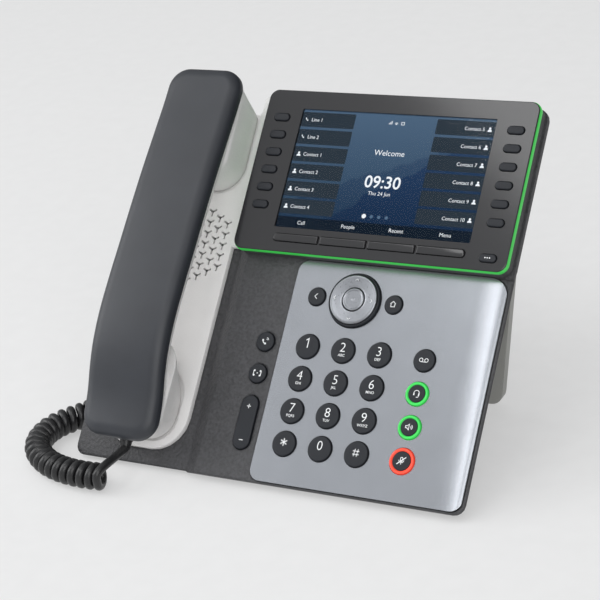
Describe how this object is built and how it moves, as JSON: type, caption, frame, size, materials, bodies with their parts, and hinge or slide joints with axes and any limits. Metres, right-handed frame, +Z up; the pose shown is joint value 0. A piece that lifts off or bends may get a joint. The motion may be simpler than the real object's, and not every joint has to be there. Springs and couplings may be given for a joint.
{
  "type": "desk phone",
  "caption": "Desk IP phone: a tilted base on a stand with a colour display head, dial and function keys, and a corded handset on a cradle.",
  "frame": {"origin": "centre of the phone's bounding box, without the cord, on the desk", "axes": "+X to the phone's right as the user sees it, +Y to the back, +Z up"},
  "size_m": [0.2528, 0.1764, 0.1698],
  "materials": {
    "housing": "leather-grained dark grey moulding",
    "rear": "fine-textured dark grey moulding",
    "faceplate": "satin silver paint",
    "pale": "fine-textured light grey moulding",
    "bezel": "polished dark grey",
    "window": "clear, flat",
    "screen": "lit colour display",
    "green": "lit green light guide",
    "key": "smooth satin dark grey",
    "silver": "brushed silver",
    "lit_green": "green light guide under a dark cap",
    "lit_red": "red light guide under a dark cap",
    "handset": "soft-touch blue-grey",
    "cord": "satin black jacket",
    "rubber": "matt black",
    "board": "green circuit board",
    "speaker": "black paper cone and frame"
  },
  "bodies": {
    "base": {"front_housing": "housing", "rear_housing": "rear", "keypad_faceplate": "faceplate", "cradle_tray": "pale", "display_bezel": "bezel", "display_window": "window", "lcd_module": "screen", "light_bar": "green", "stand": "pale", "stand_foot_pad": "rubber", "base_foot_pad": "rubber", "main_board": "board", "ringer_speaker": "speaker", "cord_curl": "cord", "cord_lead_base": "cord"},
    "dial_key_1": {"dial_key_1": "key"},
    "dial_key_2": {"dial_key_2": "key"},
    "dial_key_3": {"dial_key_3": "key"},
    "dial_key_4": {"dial_key_4": "key"},
    "dial_key_5": {"dial_key_5": "key"},
    "dial_key_6": {"dial_key_6": "key"},
    "dial_key_7": {"dial_key_7": "key"},
    "dial_key_8": {"dial_key_8": "key"},
    "dial_key_9": {"dial_key_9": "key"},
    "dial_key_star": {"dial_key_star": "key"},
    "dial_key_0": {"dial_key_0": "key"},
    "dial_key_pound": {"dial_key_pound": "key"},
    "line_key_left_1": {"line_key_left_1": "key"},
    "line_key_left_2": {"line_key_left_2": "key"},
    "line_key_left_3": {"line_key_left_3": "key"},
    "line_key_left_4": {"line_key_left_4": "key"},
    "line_key_left_5": {"line_key_left_5": "key"},
    "line_key_left_6": {"line_key_left_6": "key"},
    "line_key_right_1": {"line_key_right_1": "key"},
    "line_key_right_2": {"line_key_right_2": "key"},
    "line_key_right_3": {"line_key_right_3": "key"},
    "line_key_right_4": {"line_key_right_4": "key"},
    "line_key_right_5": {"line_key_right_5": "key"},
    "line_key_right_6": {"line_key_right_6": "key"},
    "soft_key_1": {"soft_key_1": "key"},
    "soft_key_2": {"soft_key_2": "key"},
    "soft_key_3": {"soft_key_3": "key"},
    "soft_key_4": {"soft_key_4": "key"},
    "more_key": {"more_key": "key"},
    "back_key": {"back_key": "key"},
    "home_key": {"home_key": "key"},
    "voicemail_key": {"voicemail_key": "key"},
    "headset_key": {"headset_key": "lit_green"},
    "speaker_key": {"speaker_key": "lit_green"},
    "mute_key": {"mute_key": "lit_red"},
    "transfer_key": {"transfer_key": "key"},
    "conference_key": {"conference_key": "key"},
    "volume_rocker": {"volume_rocker": "key"},
    "nav_skirt": {"nav_skirt": "key"},
    "nav_ring": {"nav_ring": "silver"},
    "select_key": {"select_key": "silver"},
    "handset": {"handset_top_shell": "handset", "handset_bottom_shell": "pale", "cord_lead_handset": "cord"},
    "hook_plunger": {"hook_plunger": "key"}
  },
  "joints": [
    {"name": "handset_lift", "type": "slide", "parent": "base", "child": "handset", "axis": [0, -0.7071, 0.7071], "range_m": [0, 0.1]},
    {"name": "hook_rise", "type": "slide", "parent": "base", "child": "hook_plunger", "axis": [0, -0.7071, 0.7071], "range_m": [0, 0.003]},
    {"name": "volume_rock", "type": "hinge", "parent": "base", "child": "volume_rocker", "pos_m": [-0.01285, -0.04782, 0.02491], "axis": [1, 0, 0], "range_deg": [-2.5, 2.5], "stiffness_Nm_per_rad": 0.04},
    {"name": "nav_rock_sideways", "type": "hinge", "parent": "base", "child": "nav_skirt", "pos_m": [0.03165, -0.00073, 0.07483], "axis": [0, 0.7071, 0.7071], "range_deg": [-2, 2], "stiffness_Nm_per_rad": 0.04},
    {"name": "nav_rock_up_down", "type": "hinge", "parent": "nav_skirt", "child": "nav_ring", "pos_m": [0.03165, -0.00073, 0.07483], "axis": [1, 0, 0], "range_deg": [-2, 2], "stiffness_Nm_per_rad": 0.04},
    {"name": "select_key_press", "type": "slide", "parent": "base", "child": "select_key", "axis": [0, 0.7071, -0.7071], "range_m": [0, 0.0008], "stiffness_N_per_m": 500, "springref_m": -0.0004},
    {"name": "dial_key_1_press", "type": "slide", "parent": "base", "child": "dial_key_1", "axis": [0, 0.7071, -0.7071], "range_m": [0, 0.001], "stiffness_N_per_m": 500, "springref_m": -0.0004},
    {"name": "dial_key_2_press", "type": "slide", "parent": "base", "child": "dial_key_2", "axis": [0, 0.7071, -0.7071], "range_m": [0, 0.001], "stiffness_N_per_m": 500, "springref_m": -0.0004},
    {"name": "dial_key_3_press", "type": "slide", "parent": "base", "child": "dial_key_3", "axis": [0, 0.7071, -0.7071], "range_m": [0, 0.001], "stiffness_N_per_m": 500, "springref_m": -0.0004},
    {"name": "dial_key_4_press", "type": "slide", "parent": "base", "child": "dial_key_4", "axis": [0, 0.7071, -0.7071], "range_m": [0, 0.001], "stiffness_N_per_m": 500, "springref_m": -0.0004},
    {"name": "dial_key_5_press", "type": "slide", "parent": "base", "child": "dial_key_5", "axis": [0, 0.7071, -0.7071], "range_m": [0, 0.001], "stiffness_N_per_m": 500, "springref_m": -0.0004},
    {"name": "dial_key_6_press", "type": "slide", "parent": "base", "child": "dial_key_6", "axis": [0, 0.7071, -0.7071], "range_m": [0, 0.001], "stiffness_N_per_m": 500, "springref_m": -0.0004},
    {"name": "dial_key_7_press", "type": "slide", "parent": "base", "child": "dial_key_7", "axis": [0, 0.7071, -0.7071], "range_m": [0, 0.001], "stiffness_N_per_m": 500, "springref_m": -0.0004},
    {"name": "dial_key_8_press", "type": "slide", "parent": "base", "child": "dial_key_8", "axis": [0, 0.7071, -0.7071], "range_m": [0, 0.001], "stiffness_N_per_m": 500, "springref_m": -0.0004},
    {"name": "dial_key_9_press", "type": "slide", "parent": "base", "child": "dial_key_9", "axis": [0, 0.7071, -0.7071], "range_m": [0, 0.001], "stiffness_N_per_m": 500, "springref_m": -0.0004},
    {"name": "dial_key_star_press", "type": "slide", "parent": "base", "child": "dial_key_star", "axis": [0, 0.7071, -0.7071], "range_m": [0, 0.001], "stiffness_N_per_m": 500, "springref_m": -0.0004},
    {"name": "dial_key_0_press", "type": "slide", "parent": "base", "child": "dial_key_0", "axis": [0, 0.7071, -0.7071], "range_m": [0, 0.001], "stiffness_N_per_m": 500, "springref_m": -0.0004},
    {"name": "dial_key_pound_press", "type": "slide", "parent": "base", "child": "dial_key_pound", "axis": [0, 0.7071, -0.7071], "range_m": [0, 0.001], "stiffness_N_per_m": 500, "springref_m": -0.0004},
    {"name": "line_key_left_1_press", "type": "slide", "parent": "base", "child": "line_key_left_1", "axis": [0, 0.7071, -0.7071], "range_m": [0, 0.0006], "stiffness_N_per_m": 500, "springref_m": -0.0004},
    {"name": "line_key_left_2_press", "type": "slide", "parent": "base", "child": "line_key_left_2", "axis": [0, 0.7071, -0.7071], "range_m": [0, 0.0006], "stiffness_N_per_m": 500, "springref_m": -0.0004},
    {"name": "line_key_left_3_press", "type": "slide", "parent": "base", "child": "line_key_left_3", "axis": [0, 0.7071, -0.7071], "range_m": [0, 0.0006], "stiffness_N_per_m": 500, "springref_m": -0.0004},
    {"name": "line_key_left_4_press", "type": "slide", "parent": "base", "child": "line_key_left_4", "axis": [0, 0.7071, -0.7071], "range_m": [0, 0.0006], "stiffness_N_per_m": 500, "springref_m": -0.0004},
    {"name": "line_key_left_5_press", "type": "slide", "parent": "base", "child": "line_key_left_5", "axis": [0, 0.7071, -0.7071], "range_m": [0, 0.0006], "stiffness_N_per_m": 500, "springref_m": -0.0004},
    {"name": "line_key_left_6_press", "type": "slide", "parent": "base", "child": "line_key_left_6", "axis": [0, 0.7071, -0.7071], "range_m": [0, 0.0006], "stiffness_N_per_m": 500, "springref_m": -0.0004},
    {"name": "line_key_right_1_press", "type": "slide", "parent": "base", "child": "line_key_right_1", "axis": [0, 0.7071, -0.7071], "range_m": [0, 0.0006], "stiffness_N_per_m": 500, "springref_m": -0.0004},
    {"name": "line_key_right_2_press", "type": "slide", "parent": "base", "child": "line_key_right_2", "axis": [0, 0.7071, -0.7071], "range_m": [0, 0.0006], "stiffness_N_per_m": 500, "springref_m": -0.0004},
    {"name": "line_key_right_3_press", "type": "slide", "parent": "base", "child": "line_key_right_3", "axis": [0, 0.7071, -0.7071], "range_m": [0, 0.0006], "stiffness_N_per_m": 500, "springref_m": -0.0004},
    {"name": "line_key_right_4_press", "type": "slide", "parent": "base", "child": "line_key_right_4", "axis": [0, 0.7071, -0.7071], "range_m": [0, 0.0006], "stiffness_N_per_m": 500, "springref_m": -0.0004},
    {"name": "line_key_right_5_press", "type": "slide", "parent": "base", "child": "line_key_right_5", "axis": [0, 0.7071, -0.7071], "range_m": [0, 0.0006], "stiffness_N_per_m": 500, "springref_m": -0.0004},
    {"name": "line_key_right_6_press", "type": "slide", "parent": "base", "child": "line_key_right_6", "axis": [0, 0.7071, -0.7071], "range_m": [0, 0.0006], "stiffness_N_per_m": 500, "springref_m": -0.0004},
    {"name": "soft_key_1_press", "type": "slide", "parent": "base", "child": "soft_key_1", "axis": [0, 0.7071, -0.7071], "range_m": [0, 0.0006], "stiffness_N_per_m": 500, "springref_m": -0.0004},
    {"name": "soft_key_2_press", "type": "slide", "parent": "base", "child": "soft_key_2", "axis": [0, 0.7071, -0.7071], "range_m": [0, 0.0006], "stiffness_N_per_m": 500, "springref_m": -0.0004},
    {"name": "soft_key_3_press", "type": "slide", "parent": "base", "child": "soft_key_3", "axis": [0, 0.7071, -0.7071], "range_m": [0, 0.0006], "stiffness_N_per_m": 500, "springref_m": -0.0004},
    {"name": "soft_key_4_press", "type": "slide", "parent": "base", "child": "soft_key_4", "axis": [0, 0.7071, -0.7071], "range_m": [0, 0.0006], "stiffness_N_per_m": 500, "springref_m": -0.0004},
    {"name": "more_key_press", "type": "slide", "parent": "base", "child": "more_key", "axis": [0, 0.7071, -0.7071], "range_m": [0, 0.0006], "stiffness_N_per_m": 500, "springref_m": -0.0004},
    {"name": "back_key_press", "type": "slide", "parent": "base", "child": "back_key", "axis": [0, 0.7071, -0.7071], "range_m": [0, 0.001], "stiffness_N_per_m": 500, "springref_m": -0.0004},
    {"name": "home_key_press", "type": "slide", "parent": "base", "child": "home_key", "axis": [0, 0.7071, -0.7071], "range_m": [0, 0.001], "stiffness_N_per_m": 500, "springref_m": -0.0004},
    {"name": "voicemail_key_press", "type": "slide", "parent": "base", "child": "voicemail_key", "axis": [0, 0.7071, -0.7071], "range_m": [0, 0.001], "stiffness_N_per_m": 500, "springref_m": -0.0004},
    {"name": "headset_key_press", "type": "slide", "parent": "base", "child": "headset_key", "axis": [0, 0.7071, -0.7071], "range_m": [0, 0.001], "stiffness_N_per_m": 500, "springref_m": -0.0004},
    {"name": "speaker_key_press", "type": "slide", "parent": "base", "child": "speaker_key", "axis": [0, 0.7071, -0.7071], "range_m": [0, 0.001], "stiffness_N_per_m": 500, "springref_m": -0.0004},
    {"name": "mute_key_press", "type": "slide", "parent": "base", "child": "mute_key", "axis": [0, 0.7071, -0.7071], "range_m": [0, 0.001], "stiffness_N_per_m": 500, "springref_m": -0.0004},
    {"name": "transfer_key_press", "type": "slide", "parent": "base", "child": "transfer_key", "axis": [0, 0.7071, -0.7071], "range_m": [0, 0.001], "stiffness_N_per_m": 500, "springref_m": -0.0004},
    {"name": "conference_key_press", "type": "slide", "parent": "base", "child": "conference_key", "axis": [0, 0.7071, -0.7071], "range_m": [0, 0.001], "stiffness_N_per_m": 500, "springref_m": -0.0004}
  ],
  "couplings": [
    {"joint": "hook_rise", "follows": "handset_lift", "ratio": 0.03}
  ]
}
